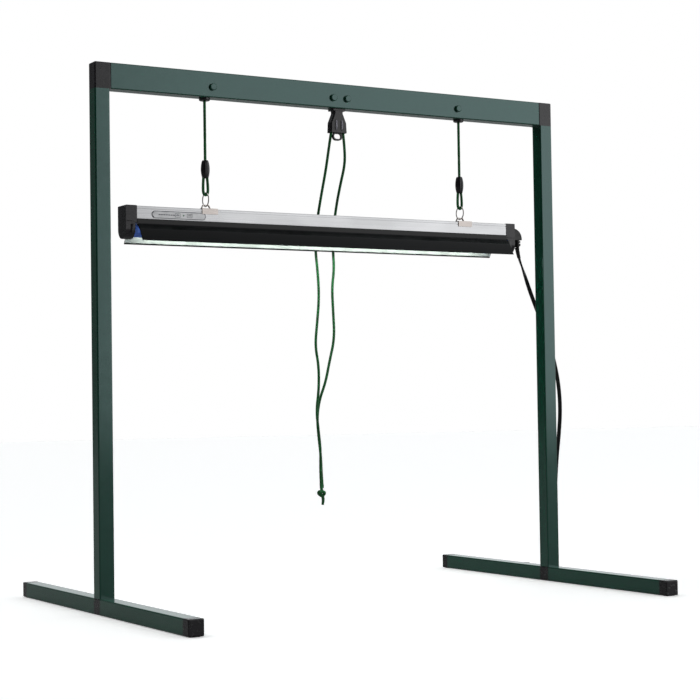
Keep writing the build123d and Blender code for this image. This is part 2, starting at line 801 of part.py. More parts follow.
def make_cord_tie():
    """Strap around the middle of the hank."""
    inside_w = hank_width + 0.4
    inside_h = hank_height + 0.1
    with BuildPart() as tie:
        with BuildSketch(along_y(hank_x, hank_y - 4, tie_thickness + 0.05 + inside_h / 2)):
            RectangleRounded(inside_w + 2 * tie_thickness, inside_h + 2 * tie_thickness, 1.0)
            Rectangle(inside_w, inside_h, mode=Mode.SUBTRACT)
        extrude(amount=8)
    save(tie, "cord_tie")


def make_plug():
    """Two-blade plug on the cord's far end, lying flat beside the foot."""
    width, length, height = plug_size
    x = plug_x
    with BuildPart() as body:
        with BuildSketch(Plane.XY):
            with Locations((x, plug_start + length / 2)):
                RectangleRounded(width, length, 4.0)
        extrude(amount=height)
        fillet(body.faces().sort_by(Axis.Z)[-1].edges(), 2.4)
    save(body, "plug_body")
    with BuildPart() as blades:
        for side in (-1, 1):
            with BuildSketch(along_y(x + side * 6.35, plug_start + length, height / 2)):
                Rectangle(1.5, 6.3)
            extrude(amount=15.9)
    save(blades, "plug_blades")


# ================================================================ build everything
for side, word in ((-1, "left"), (1, "right")):
    make_upright(side, f"upright_{word}")
    make_elbow(side, f"elbow_{word}")
    make_tee(side, f"tee_{word}")
    make_foot_tube(side, -1, f"foot_tube_{word}_front")
    make_foot_tube(side, 1, f"foot_tube_{word}_rear")
    make_foot_caps(side, f"foot_caps_{word}")
    make_bushing(side * hang_x, f"bushing_{word}")
    make_bar_cord(side, f"bar_cord_{word}")
    make_drop_cord(side, f"drop_cord_{word}")
    make_bead(side, f"bead_{word}")
    make_cord_loop(side, f"cord_loop_{word}")
    make_hoop(side, f"hoop_{word}")
    make_clip(side, f"clip_{word}")
    make_end_cap(side, f"end_cap_{word}")
    make_pulley(side * outer_pin_x, f"pulley_{word}_outer")
    make_pulley(side * inner_pin_x, f"pulley_{word}_inner")
make_crossbar()
make_pulley_pins()
make_pulley_spacers()
make_lock_body()
make_lock_wedge()
make_cord(left_tail, cord_d, "tail_cord_left")
make_cord(right_tail, cord_d, "tail_cord_right")
make_tail_knot()
make_housing()
make_reflector()
make_label_plate()
make_driver_board()
make_driver_parts()
make_inlet_socket()
make_power_connector()
make_lamp_tube()
make_lamp_bases()
make_lamp_pins()
make_lamp_rotors()
make_lamp_spine()
make_led_board()
make_led_chips()
make_cord(lead_route, lead_d, "power_cord")
make_cord(plug_lead, lead_d, "power_cord_end")
make_hank()
make_cord_tie()
make_plug()
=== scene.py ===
import json
from math import cos, pi, radians, sin, tau

import bmesh
import bpy
from mathutils import Matrix, Vector


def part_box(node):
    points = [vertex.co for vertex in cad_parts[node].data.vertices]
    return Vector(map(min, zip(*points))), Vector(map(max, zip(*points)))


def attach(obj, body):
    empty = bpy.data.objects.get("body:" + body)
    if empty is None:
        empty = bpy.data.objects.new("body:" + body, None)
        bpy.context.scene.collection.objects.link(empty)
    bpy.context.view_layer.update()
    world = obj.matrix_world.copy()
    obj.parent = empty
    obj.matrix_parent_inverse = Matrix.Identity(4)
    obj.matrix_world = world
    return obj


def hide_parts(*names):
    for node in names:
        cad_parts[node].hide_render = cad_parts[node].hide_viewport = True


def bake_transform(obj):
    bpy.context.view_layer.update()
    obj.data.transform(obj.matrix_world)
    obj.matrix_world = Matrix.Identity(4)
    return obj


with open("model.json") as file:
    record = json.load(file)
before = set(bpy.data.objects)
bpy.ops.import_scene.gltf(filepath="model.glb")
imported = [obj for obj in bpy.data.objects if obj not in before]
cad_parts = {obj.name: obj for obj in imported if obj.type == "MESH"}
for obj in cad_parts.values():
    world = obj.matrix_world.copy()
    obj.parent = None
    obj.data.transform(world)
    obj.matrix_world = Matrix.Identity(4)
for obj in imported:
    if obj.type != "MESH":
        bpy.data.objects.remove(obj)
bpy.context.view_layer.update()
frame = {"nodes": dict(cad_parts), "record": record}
nodes = frame["nodes"]
MM = 0.001
scene = bpy.context.scene


# ---------------------------------------------------------------- camera, floor and light
def make_camera():
    """Looks at the stand from the left front, level with its lower half."""
    yaw, pitch, roll = 0.530903, 0.033155, -0.014543    # radians, fitted to the stand's edges in the photo
    place = (-1.135399, -1.958973, 0.242549)
    ahead = Vector((sin(yaw) * cos(pitch), cos(yaw) * cos(pitch), sin(pitch)))
    level = Vector((cos(yaw), -sin(yaw), 0))
    over = level.cross(ahead)
    right = level * cos(roll) + over * sin(roll)
    up = over * cos(roll) - level * sin(roll)
    data = bpy.data.cameras.new("camera")
    data.sensor_width = 36
    data.lens = 89.952
    camera = bpy.data.objects.new("camera", data)
    scene.collection.objects.link(camera)
    turn = Matrix((right, up, -ahead)).transposed().to_4x4()
    camera.matrix_world = Matrix.Translation(place) @ turn
    scene.camera = camera


def make_floor():
    """Pale to the camera, and darker to bounced light, so that it doesn't wash out the undersides."""
    reach = 12.0
    tone_bounced, tone_seen = 0.27, 0.96
    glow_seen = 0.34
    corners = [(-reach, -reach, 0), (reach, -reach, 0), (reach, reach, 0), (-reach, reach, 0)]
    mesh = bpy.data.meshes.new("floor")
    mesh.from_pydata(corners, [], [(0, 1, 2, 3)])
    floor = bpy.data.objects.new("floor", mesh)
    scene.collection.objects.link(floor)
    material = bpy.data.materials.new("pale_floor")
    material.use_nodes = True
    shader = material.node_tree.nodes["Principled BSDF"]
    rays = material.node_tree.nodes.new("ShaderNodeLightPath")
    tone = material.node_tree.nodes.new("ShaderNodeMapRange")
    tone.inputs["To Min"].default_value = tone_bounced
    tone.inputs["To Max"].default_value = tone_seen
    material.node_tree.links.new(rays.outputs["Is Camera Ray"], tone.inputs["Value"])
    material.node_tree.links.new(tone.outputs["Result"], shader.inputs["Base Color"])
    glow = material.node_tree.nodes.new("ShaderNodeMapRange")
    glow.inputs["To Max"].default_value = glow_seen
    material.node_tree.links.new(rays.outputs["Is Camera Ray"], glow.inputs["Value"])
    material.node_tree.links.new(glow.outputs["Result"], shader.inputs["Emission Strength"])
    shader.inputs["Roughness"].default_value = 0.7
    floor.data.materials.append(material)


def make_area_light(name, place, target, size, power):
    data = bpy.data.lights.new(name, "AREA")
    data.shape = "RECTANGLE"
    data.size, data.size_y = size
    data.energy = power
    light = bpy.data.objects.new(name, data)
    scene.collection.objects.link(light)
    light.location = place
    light.rotation_euler = (Vector(target) - Vector(place)).to_track_quat("-Z", "Y").to_euler()


def make_surroundings():
    """White to the camera; to everything else, a room that is bright on the right and dark on the left."""
    bright_side = (0.80, 0.25, -0.05)
    room_tint = (0.94, 0.98, 1, 1)
    world = bpy.data.worlds.new("studio")
    scene.world = world
    world.use_nodes = True
    tree = world.node_tree
    room = tree.nodes["Background"]
    white = tree.nodes.new("ShaderNodeBackground")
    white.inputs["Color"].default_value = (1, 1, 1, 1)
    place = tree.nodes.new("ShaderNodeTexCoord")
    toward = tree.nodes.new("ShaderNodeVectorMath")
    toward.operation = "DOT_PRODUCT"
    toward.inputs[1].default_value = bright_side
    shade = tree.nodes.new("ShaderNodeMapRange")
    shade.interpolation_type = "SMOOTHSTEP"
    for key, value in (("From Min", -0.2), ("From Max", 0.7), ("To Min", 0.03), ("To Max", 0.9)):
        shade.inputs[key].default_value = value
    rays = tree.nodes.new("ShaderNodeLightPath")
    choice = tree.nodes.new("ShaderNodeMixShader")
    tree.links.new(place.outputs["Generated"], toward.inputs[0])
    tree.links.new(toward.outputs["Value"], shade.inputs["Value"])
    room.inputs["Color"].default_value = room_tint
    tree.links.new(shade.outputs["Result"], room.inputs["Strength"])
    tree.links.new(rays.outputs["Is Camera Ray"], choice.inputs[0])
    tree.links.new(room.outputs[0], choice.inputs[1])
    tree.links.new(white.outputs[0], choice.inputs[2])
    tree.links.new(choice.outputs[0], tree.nodes["World Output"].inputs["Surface"])


def make_lighting():
    """A soft box that shows in the front faces, and a wide sun from above, behind on the left."""
    scene.view_settings.view_transform = "Standard"
    make_surroundings()
    make_area_light("soft_box", place=(2.0, -2.6, 1.35), target=(0.5, 0, 1.1), size=(2.6, 2.4), power=21)
    from_above = Vector((-0.40, 0.30, 0.86))
    sky = bpy.data.lights.new("overhead", "SUN")
    sky.energy = 1.4
    sky.angle = radians(50)
    overhead = bpy.data.objects.new("overhead", sky)
    overhead.rotation_euler = from_above.to_track_quat("Z", "Y").to_euler()
    scene.collection.objects.link(overhead)


make_camera()
make_floor()
make_lighting()


# ---------------------------------------------------------------- materials
class Surface:
    """A material under construction, with short calls for its nodes."""

    def __init__(self, name):
        self.material = bpy.data.materials.new(name)
        self.material.use_nodes = True
        self.tree = self.material.node_tree
        self.shader = self.tree.nodes["Principled BSDF"]
        self.place = self.node("ShaderNodeTexCoord").outputs["Object"]

    def node(self, kind, **settings):
        made = self.tree.nodes.new(kind)
        for key, value in settings.items():
            setattr(made, key, value)
        return made

    def wire(self, source, target):
        self.tree.links.new(source, target)

    def set(self, **values):
        """Constants on the shader's own sockets."""
        for key, value in values.items():
            self.shader.inputs[key.replace("_", " ")].default_value = value

    def scaled(self, scale):
        mapping = self.node("ShaderNodeMapping")
        mapping.inputs["Scale"].default_value = scale
        self.wire(self.place, mapping.inputs["Vector"])
        return mapping.outputs["Vector"]

    def noise(self, scale, detail=2.0, rough=0.5):
        """Noise whose scale counts its lumps in each metre along X, Y and Z."""
        texture = self.node("ShaderNodeTexNoise")
        texture.inputs["Scale"].default_value = 1.0
        texture.inputs["Detail"].default_value = detail
        texture.inputs["Roughness"].default_value = rough
        self.wire(self.scaled(scale), texture.inputs["Vector"])
        return texture.outputs["Fac"]

    def ramp(self, value, low, high):
        """The middle of a noise's range carried to low..high, clamped."""
        span = self.node("ShaderNodeMapRange")
        for key, number in (("From Min", 0.35), ("From Max", 0.65), ("To Min", low), ("To Max", high)):
            span.inputs[key].default_value = number
        self.wire(value, span.inputs["Value"])
        return span.outputs["Result"]

    def mix(self, factor, first, second):
        """Colour mix; each colour is a tuple or a socket."""
        blend = self.node("ShaderNodeMix", data_type="RGBA")
        self.wire(factor, blend.inputs["Factor"])
        colours = {socket.name: socket for socket in blend.inputs if socket.type == "RGBA"}
        for key, colour in (("A", first), ("B", second)):
            if isinstance(colour, tuple):
                colours[key].default_value = (*colour, 1)
            else:
                self.wire(colour, colours[key])
        return [out for out in blend.outputs if out.type == "RGBA"][0]

    def colour(self, source):
        self.wire(source, self.shader.inputs["Base Color"])

    def roughness(self, value, low, high):
        self.wire(self.ramp(value, low, high), self.shader.inputs["Roughness"])

    def bump(self, height, depth):
        """Relief of that depth in metres."""
        made = self.node("ShaderNodeBump")
        made.inputs["Strength"].default_value = 1.0
        made.inputs["Distance"].default_value = depth
        self.wire(height, made.inputs["Height"])
        self.wire(made.outputs["Normal"], self.shader.inputs["Normal"])


def powder_paint(name, deep, light, gloss=0.95, tint=(0.72, 0.98, 1, 1)):
    """Glossy powder paint with faint mottling and a very fine orange peel."""
    s = Surface(name)
    mottle = s.noise((30, 30, 30), 3)
    s.colour(s.mix(s.ramp(mottle, 0, 1), deep, light))
    s.roughness(s.noise((90, 90, 90), 3), 0.15, 0.18)
    s.set(Specular_IOR_Level=gloss, Specular_Tint=tint, Coat_Weight=0.1, Coat_Roughness=0.12)
    s.bump(s.noise((900, 900, 900), 1), 0.000002)
    return s.material


def moulded_plastic(name, colour, rough=(0.42, 0.56), grain=0.00005):
    """Moulded plastic with a fine spark-eroded grain and faint flow marks."""
    s = Surface(name)
    dark = tuple(0.75 * c for c in colour)
    s.colour(s.mix(s.ramp(s.noise((60, 60, 35), 3), 0, 1), dark, colour))
    s.roughness(s.noise((240, 240, 240), 2), *rough)
    s.set(Specular_IOR_Level=0.5)
    s.bump(s.noise((2600, 2600, 2600), 1), grain)
    return s.material


def drawn_metal(name, colour, along, rough, depth=0.000015):
    """Metal with fine lines along the way it was drawn or rolled."""
    s = Surface(name)
    lines = s.noise(along, 3, 0.6)
    cloud = s.noise((14, 30, 30), 2)
    dark = tuple(0.86 * c for c in colour)
    s.colour(s.mix(s.ramp(cloud, 0, 1), dark, colour))
    s.set(Metallic=1.0)
    s.roughness(lines, *rough)
    s.bump(lines, depth)
    return s.material


def braided_yarn(name, deep, light):
    """Braided polyester: patches of two greens, with painted shade between the fine filaments."""
    s = Surface(name)
    threads = s.noise((1800, 1800, 700), 2)
    patches = s.noise((90, 90, 60), 2)
    shade = s.mix(s.ramp(patches, 0, 1), deep, light)
    # Painted shade: the fine filament noise darkens the colour, standing in for the shade between the
    # filaments
    s.colour(s.mix(s.ramp(threads, 0, 0.4), shade, tuple(0.7 * c for c in deep)))
    s.set(Roughness=0.62, Sheen_Weight=0.12, Sheen_Roughness=0.4)
    s.bump(threads, 0.00012)
    return s.material


def frosted_tube(name):
    """Frosted lamp tube, lit, with faint lengthwise clouds."""
    s = Surface(name)
    s.colour(s.mix(s.ramp(s.noise((8, 60, 60), 2), 0, 1), (0.80, 0.83, 0.82), (0.88, 0.90, 0.89)))
    s.roughness(s.noise((300, 300, 300), 2), 0.32, 0.42)
    s.set(Coat_Weight=0.25, Coat_Roughness=0.2, Emission_Color=(0.93, 1, 0.95, 1), Emission_Strength=7.0)
    return s.material


def circuit_board(name):
    """Solder mask over a grid of tracks."""
    s = Surface(name)
    tracks = s.node("ShaderNodeTexBrick")
    tracks.inputs["Scale"].default_value = 1.0
    for key, value in (("Color1", (0.01, 0.16, 0.05, 1)), ("Color2", (0.015, 0.20, 0.07, 1)),
                       ("Mortar", (0.02, 0.30, 0.10, 1))):
        tracks.inputs[key].default_value = value
    s.wire(s.scaled((90, 220, 1)), tracks.inputs["Vector"])
    s.wire(tracks.outputs["Color"], s.shader.inputs["Base Color"])
    s.set(Roughness=0.35)
    s.bump(tracks.outputs["Fac"], 0.00003)
    return s.material


MATERIALS = {
    "green_paint": powder_paint("green_powder_paint", (0.001, 0.056, 0.028), (0.002, 0.064, 0.033)),
    "pin_paint": powder_paint("green_pin_paint", (0.001, 0.058, 0.030), (0.002, 0.066, 0.035)),
    "black_plastic": moulded_plastic("black_moulded_plastic", (0.021, 0.0185, 0.0225), (0.21, 0.29),
                                     0.000005),
    "pulley_plastic": moulded_plastic("natural_acetal", (0.72, 0.71, 0.66)),
    "components": moulded_plastic("moulded_components", (0.06, 0.07, 0.10)),
    "lead_black": moulded_plastic("black_vinyl", (0.006, 0.006, 0.0065), (0.34, 0.44), 0.00001),
    "white_plastic": moulded_plastic("white_plastic", (0.82, 0.82, 0.79)),
    "blue_plastic": moulded_plastic("blue_lamp_base", (0.11, 0.24, 0.95), (0.25, 0.35), 0.00001),
    "led": moulded_plastic("yellow_phosphor", (0.85, 0.70, 0.22)),
    "led_board": moulded_plastic("white_solder_mask", (0.85, 0.85, 0.82)),
    "zinc": drawn_metal("zinc_plate", (0.62, 0.63, 0.66), (400, 400, 400), (0.30, 0.45)),
    "nickel": drawn_metal("bright_nickel", (0.48, 0.435, 0.41), (60, 900, 900), (0.16, 0.26), 0.000006),
    "brass": drawn_metal("brass", (0.78, 0.60, 0.30), (900, 120, 900), (0.22, 0.34)),
    "aluminium": drawn_metal("satin_aluminium", (0.60, 0.60, 0.61), (2.5, 1400, 1400), (0.26, 0.36),
                             0.000008),
    "cord_green": braided_yarn("green_braided_cord", (0.003, 0.105, 0.018), (0.010, 0.215, 0.050)),
    "reflector_black": powder_paint("black_sheet_paint", (0.004, 0.004, 0.0045), (0.005, 0.005, 0.0055), 0.22,
                                    (1, 1, 1, 1)),
    # Painted shade and painted green reflection: the inside's white paint is greyed and tinted green
    "reflector_white": moulded_plastic("white_paint_with_painted_shade_and_green_reflection", (0.66, 0.70, 0.67), (0.35, 0.5), 0.00001),
    "label_foil": drawn_metal("label_foil", (0.60, 0.60, 0.61), (200, 200, 200), (0.35, 0.5), 0.000004),
    "diffuser": frosted_tube("frosted_lamp_tube"),
    "board": circuit_board("circuit_board"),
}


def finish_cad_nodes():
    """Gives every CAD node the material of its slot."""
    for part in frame["record"]["subparts"]:
        target = nodes[part["node"]]
        target.data.materials.clear()
        target.data.materials.append(MATERIALS[part["material_slot"]])


finish_cad_nodes()


# ---------------------------------------------------------------- mesh helpers
def add_piece(name, mesh, slot, body=None):
    """Puts a finished mesh in the scene with its material, riding on its body."""
    piece = bpy.data.objects.new(name, mesh)
    scene.collection.objects.link(piece)
    if not mesh.materials:
        mesh.materials.append(MATERIALS[slot])
    if body:
        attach(piece, body)
    return piece


def read_line(points, resolution):
    """The smooth line of a route whose control points are in millimetres."""
    curve = bpy.data.curves.new("route", "CURVE")
    curve.dimensions = "3D"
    spline = curve.splines.new("NURBS")
    spline.points.add(len(points) - 1)
    for target, point in zip(spline.points, points):
        target.co = (*(MM * v for v in point), 1)
    spline.order_u = 3
    spline.use_endpoint_u = True
    spline.resolution_u = resolution
    holder = bpy.data.objects.new("route", curve)
    mesh = bpy.data.meshes.new_from_object(holder)
    line = [v.co.copy() for v in mesh.vertices]
    bpy.data.objects.remove(holder)
    bpy.data.curves.remove(curve)
    bpy.data.meshes.remove(mesh)
    return line


def distances(line):
    """Distance along a line to each of its points."""
    run = [0.0]
    for a, b in zip(line, line[1:]):
        run.append(run[-1] + (b - a).length)
    return run


def frame_at(line, i, side):
    """(tangent, side, up) at point i, with its side as near as can be to the one given."""
    tangent = (line[min(i + 1, len(line) - 1)] - line[max(i - 1, 0)]).normalized()
    side = (side - tangent * side.dot(tangent)).normalized()
    return tangent, side, tangent.cross(side)


def frames_along(line, first_side):
    """Frames at each point, carried along without twist."""
    found = []
    side = Vector(first_side)
    for i in range(len(line)):
        found.append(frame_at(line, i, side))
        side = found[-1][1]
    return found


def sweep(name, line, frames, ring, count):
    """Closed tube: ring(i, k) gives side and up offsets of point k of ring i."""
    mesh = bpy.data.meshes.new(name)
    vertices = []
    faces = []
    for i, (centre, (tangent, side, up)) in enumerate(zip(line, frames)):
        for k in range(count):
            across, over = ring(i, k)
            vertices.append(centre + side * across + up * over)
    rings = len(line)
    for i in range(rings - 1):
        for k in range(count):
            n = (k + 1) % count
            faces.append((i * count + k, i * count + n, (i + 1) * count + n, (i + 1) * count + k))
    faces.append(tuple(reversed(range(count))))
    faces.append(tuple((rings - 1) * count + k for k in range(count)))
    mesh.from_pydata(vertices, [], faces)
    mesh.validate()
    bm = bmesh.new()
    bm.from_mesh(mesh)
    bmesh.ops.recalc_face_normals(bm, faces=bm.faces)
    for face in bm.faces:
        face.smooth = len(face.verts) == 4
    bm.to_mesh(mesh)
    bm.free()
    return mesh


# ---------------------------------------------------------------- hanging cords
CORD = 3.2 * MM
HANG_X = 190.3              # millimetres from the middle to each hanging cord
YARNS = 4                   # helical yarns that show each way round
BRAID_PITCH = 7.0 * MM      # length in which a yarn goes once round
BRAID_RADIUS = 0.54 * CORD  # a little over half the diameter, as the photo shows it
YARN_RELIEF = 0.055 * CORD


def braid_mesh(name, line):
    """Round braided cord: two families of yarns cross as shallow ridges."""
    count = 20
    run = distances(line)

    def ring(i, k):
        angle = tau * k / count
        turn = tau * run[i] / BRAID_PITCH
        ridge = max(cos(YARNS * (angle + turn)), cos(YARNS * (angle - turn)))
        radius = BRAID_RADIUS + YARN_RELIEF * (ridge - 0.4)
        return radius * cos(angle), radius * sin(angle)

    return sweep(name, line, frames_along(line, (0.2, 1, 0.1)), ring, count)


def drop_route(side):
    """Down from the bushing, through the bead, round the wire ring and back into the bead."""
    x, half = side * HANG_X, 3.3
    return [(x, 0, 627.5), (x, 0, 553), (x, 0, 547), (x - 1.85, 0, 538), (x - half, 0, 524),
            (x - half, 0, 509.95), (x + half, 0, 509.95), (x + half, 0, 524), (x + 1.85, 0, 536)]


TAILS = {
    "left": [(-9.0, 0, 600), (-9.0, 7, 579), (-6.4, 20, 553), (-6.6, 33, 521), (-8.8, 41.5, 487),
             (-10.4, 44, 453), (-6.4, 44.6, 421), (-5.4, 44, 388), (-8.8, 44.4, 354), (-12.4, 44, 325),
             (-7.2, 44.4, 299), (-7.6, 44, 268), (-11.6, 44.6, 240), (-8.6, 45, 214), (-5.4, 45.6, 188),
             (-6.6, 45, 162), (-6.0, 44.6, 138)],
    "right": [(9.0, 0, 600), (13.6, 4.5, 583), (18.2, 12, 562), (17.6, 23, 538), (17.4, 34, 512),
              (17.0, 41.5, 484), (16.6, 44.4, 454), (18.6, 44.8, 427), (14.4, 44.2, 402),
              (16.0, 44.6, 370), (17.4, 44.4, 335), (9.8, 45.6, 304), (4.6, 47.4, 277), (-4.2, 49.2, 254),
              (-7.6, 50.2, 230), (-5.2, 50.6, 204), (-2.4, 50.2, 178), (-2.6, 49.4, 158),
              (-1.6, 48.4, 138)],
}


def make_hanging_cords():
    """Each cord's drop to the fixture and its free tail behind it."""
    for word, side in (("left", -1), ("right", 1)):
        line = read_line(drop_route(side), 90)
        drop = add_piece(f"hanging_cord_{word}", braid_mesh(f"hanging_cord_{word}", line), "cord_green")
        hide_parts(f"drop_cord_{word}", f"cord_loop_{word}")
        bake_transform(drop)
        line = read_line(TAILS[word], 44)
        tail = add_piece(f"cord_tail_{word}", braid_mesh(f"cord_tail_{word}", line), "cord_green")
        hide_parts(f"tail_cord_{word}")
        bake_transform(tail)


# ---------------------------------------------------------------- power cord
LEAD_WIDTH = 5.6 * MM
LEAD_THICK = 3.2 * MM
LEAD_START = (284.3, 0, 460.5)
LEAD = [LEAD_START, (286.6, 0.8, 449), (298.5, 5.6, 429), (316, 14.5, 401), (333.5, 21, 373),
        (349.5, 23, 340), (362, 23.2, 306), (369, 22.8, 272), (371.5, 23.2, 238), (368.5, 23, 204),
        (363.5, 23.4, 168), (360, 23, 130), (359, 23.6, 92), (357, 25, 62), (352, 31, 30),
        (347.5, 48, 9.5), (345.1, 70, 3.9)]
HANK_X = 366.0
HANK_Y = (98.8, 161.2)        # ends of the hank's straight runs
COLUMNS = (20.9, 17.6, 14.3)  # end radius of each column of turns
LAYERS = (3.75, 9.45)         # height of each layer's middle
PLUG_LEAD = [(346.2, 181, 8.8), (350.6, 191.8, 7.8), (356, 201.2, 6.8), (358, 212, 6.25)]


def hank_turns():
    """Five turns of the hank: inwards through the lower layer, outwards through the upper one."""
    low, high = LAYERS
    order = [(r, low) for r in COLUMNS] + [(r, high) for r in reversed(COLUMNS)]
    steps = 6
    points = []
    for (radius, z), (next_radius, next_z) in zip(order, order[1:]):
        for k in range(steps + 1):
            angle = pi - pi * k / steps
            points.append((HANK_X + radius * cos(angle), HANK_Y[1] + radius * sin(angle), z))
        for k in range(steps + 1):
            share = k / steps
            smooth = share * share * (3 - 2 * share)
            here = radius + (next_radius - radius) * smooth
            points.append((HANK_X + here * cos(pi * share), HANK_Y[0] - here * sin(pi * share),
                           z + (next_z - z) * smooth))
    points.append((HANK_X - COLUMNS[0], HANK_Y[1] + 4, high))
    return points


def flat_lead_mesh(name, line, widths):
    """Two round conductors side by side; widths gives the direction of the wide side at each point."""
    lobe = LEAD_THICK / 2
    offset = (LEAD_WIDTH - LEAD_THICK) / 2
    count = 16
    frames = [frame_at(line, i, wide) for i, wide in enumerate(widths)]

    def ring(i, k):
        angle = tau * (k + 0.5) / count
        centre = offset if cos(angle) > 0 else -offset
        spread, height = (0.55, 0.72) if abs(cos(angle)) < 0.3 else (1.0, 1.0)     # the web between the lobes
        return centre * spread + lobe * cos(angle), lobe * sin(angle) * height

    return sweep(name, line, frames, ring, count)


def wide_directions(line):
    """The lead's wide side: front to back at the connector, then along the bar, then upright in the hank."""
    run = distances(line)
    hank_at = next(r for p, r in zip(line, run) if p.z < 0.0045)
    found = []
    for r in run:
        early = min(max((r - 0.012) / 0.07, 0), 1)
        late = min(max((r - hank_at + 0.035) / 0.05, 0), 1)
        first = Vector((0.35, 0.94, 0)).lerp(Vector((0.86, -0.5, 0)), early)
        found.append(first.lerp(Vector((0, 0, 1)), late))
    return found


def make_power_cord():
    """The whole lead: down beside the upright, into the hank and out to the plug."""
    route = LEAD + hank_turns() + PLUG_LEAD
    line = read_line(route, 12)
    mesh = flat_lead_mesh("power_cord_lead", line, wide_directions(line))
    lead = add_piece("power_cord_lead", mesh, "lead_black")
    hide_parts("power_cord", "power_cord_hank", "power_cord_end")
    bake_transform(lead)


# ---------------------------------------------------------------- solid helpers
def finish_solid(name, bm, bevel=0.0, segments=2, sharp=35):
    """Cleans a solid, rounds its sharp edges and shades it smooth between the edges that stay sharp."""
    bmesh.ops.remove_doubles(bm, verts=bm.verts, dist=1e-7)
    bmesh.ops.recalc_face_normals(bm, faces=bm.faces)
    if bevel:
        edges = [e for e in bm.edges if len(e.link_faces) == 2 and e.calc_face_angle(0) > radians(30)]
        bmesh.ops.bevel(bm, geom=edges, offset=bevel, segments=segments, profile=0.5, affect="EDGES",
                        clamp_overlap=True)
    mesh = bpy.data.meshes.new(name)
    for face in bm.faces:
        face.smooth = True
    bm.to_mesh(mesh)
    bm.free()
    mesh.set_sharp_from_angle(angle=radians(sharp))
    return mesh


def rounded(corners, steps=5):
    """Outline through (a, b, radius) corners, each turned into an arc."""
    outline = []
    count = len(corners)
    for i, (a, b, radius) in enumerate(corners):
        here = Vector((a, b))
        before = Vector(corners[i - 1][:2]) - here
        after = Vector(corners[(i + 1) % count][:2]) - here
        if radius <= 0:
            outline.append((a, b))
            continue
        before.normalize()
        after.normalize()
        half = before.angle(after) / 2
        centre = here + (before + after).normalized() * (radius / sin(half))
        reach = radius * cos(half) / sin(half)
        first = here + before * reach - centre
        last = here + after * reach - centre
        turn = first.angle_signed(last)
        for k in range(steps + 1):
            angle = -turn * k / steps
            c, q = cos(angle), sin(angle)
            outline.append(tuple(centre + Vector((first.x * c - first.y * q, first.x * q + first.y * c))))
    return outline


def add_prism(bm, outline, low, high, place):
    """Solid between two copies of an outline; place(a, b, height) gives millimetres."""
    rings = [[bm.verts.new(Vector(place(a, b, h)) * MM) for a, b in outline] for h in (low, high)]
    bm.faces.new(rings[0])
    bm.faces.new(list(reversed(rings[1])))
    count = len(outline)
    for k in range(count):
        n = (k + 1) % count
        bm.faces.new((rings[0][k], rings[0][n], rings[1][n], rings[1][k]))


def add_lathe(bm, profile, place, count=48, radius_at=None):
    """Turned solid from (radius, height) points; closed where the radius is 0."""
    rings = []
    for radius, height in profile:
        if radius <= 1e-6:
            rings.append([bm.verts.new(Vector(place(0, 0, height)) * MM)])
            continue
        ring = []
        for k in range(count):
            angle = tau * k / count
            r = radius_at(radius, angle, height) if radius_at else radius
            ring.append(bm.verts.new(Vector(place(r * cos(angle), r * sin(angle), height)) * MM))
        rings.append(ring)
    for a, b in zip(rings, rings[1:]):
        for k in range(count):
            n = (k + 1) % count
            quad = [a[k % len(a)], a[n % len(a)], b[n % len(b)], b[k % len(b)]]
            bm.faces.new(list(dict.fromkeys(quad)))


def centre_of(node):
    """Middle of a node's box, in millimetres."""
    low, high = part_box(node)
    return (low + high) / (2 * MM)


# ---------------------------------------------------------------- beads, knot
def make_bead(word):
    """Barrel with lengthwise flutes, dished at both ends."""
    low, high = (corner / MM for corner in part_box(f"bead_{word}"))
    x, y, _ = (low + high) / 2
    length = high.z - low.z
    widest = (high.x - low.x) / 2
    flutes = 11
    flute_depth = 0.075     # share of the radius
    end_radius = 4.0

    def fluted(radius, angle, height):
        share = (height - low.z) / length
        fade = max(0.0, 1 - (2 * share - 1) ** 4)
        return radius * (1 - flute_depth * fade * (0.5 + 0.5 * cos(flutes * angle)) ** 2)

    steps = 22
    profile = [(1.9, low.z + 1.2), (3.3, low.z + 0.1), (3.9, low.z)]
    for k in range(1, steps):
        share = k / steps
        bulge = sin(pi * share) ** 0.8
        profile.append((end_radius + (widest - end_radius) * bulge, low.z + length * (0.02 + 0.96 * share)))
    profile += [(3.7, high.z), (3.1, high.z - 0.1), (1.9, high.z - 1.2), (0, high.z - 1.2)]
    profile.insert(0, (0, low.z + 1.2))
    bm = bmesh.new()
    add_lathe(bm, profile, lambda a, b, h: (x + a, y + b, h), 88, fluted)
    bead = add_piece(f"cord_bead_{word}", finish_solid("bead", bm, sharp=50), "black_plastic", "light")
    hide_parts(f"bead_{word}")


def make_knot():
    """Overhand knot of the two cord ends, with both cut ends below it."""
    middle = centre_of("tail_knot")
    points = [(-1.2, 0, 8.5), (0.2, 0.6, 5.5)]
    turns = 18
    for k in range(turns + 1):
        angle = radians(100) + radians(520) * k / turns
        wide = 3.3 + 1.0 * sin(1.5 * angle)
        points.append((wide * cos(angle), 2.2 * sin(1.5 * angle + 0.6), 0.4 + wide * 0.95 * sin(angle)))
    points += [(1.0, -0.8, -5.6), (1.6, -0.4, -9.5), (1.2, 0, -15.0)]
    shifts = ((-1.15, -1.1, 0), (1.15, 1.1, -3.0))
    meshes = []
    for dx, dy, short in shifts:
        route = [(middle.x + x + dx * 0.8, middle.y + y + dy, middle.z + z - (short if z < -12 else 0))
                 for x, y, z in points]
        meshes.append(braid_mesh("knot_strand", read_line(route, 10)))
    bm = bmesh.new()
    for mesh in meshes:
        bm.from_mesh(mesh)
    joined = bpy.data.meshes.new("cord_knot")
    bm.to_mesh(joined)
    bm.free()
    knot = add_piece("cord_knot", joined, "cord_green", "tail_ends")
    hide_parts("tail_knot")
    return knot


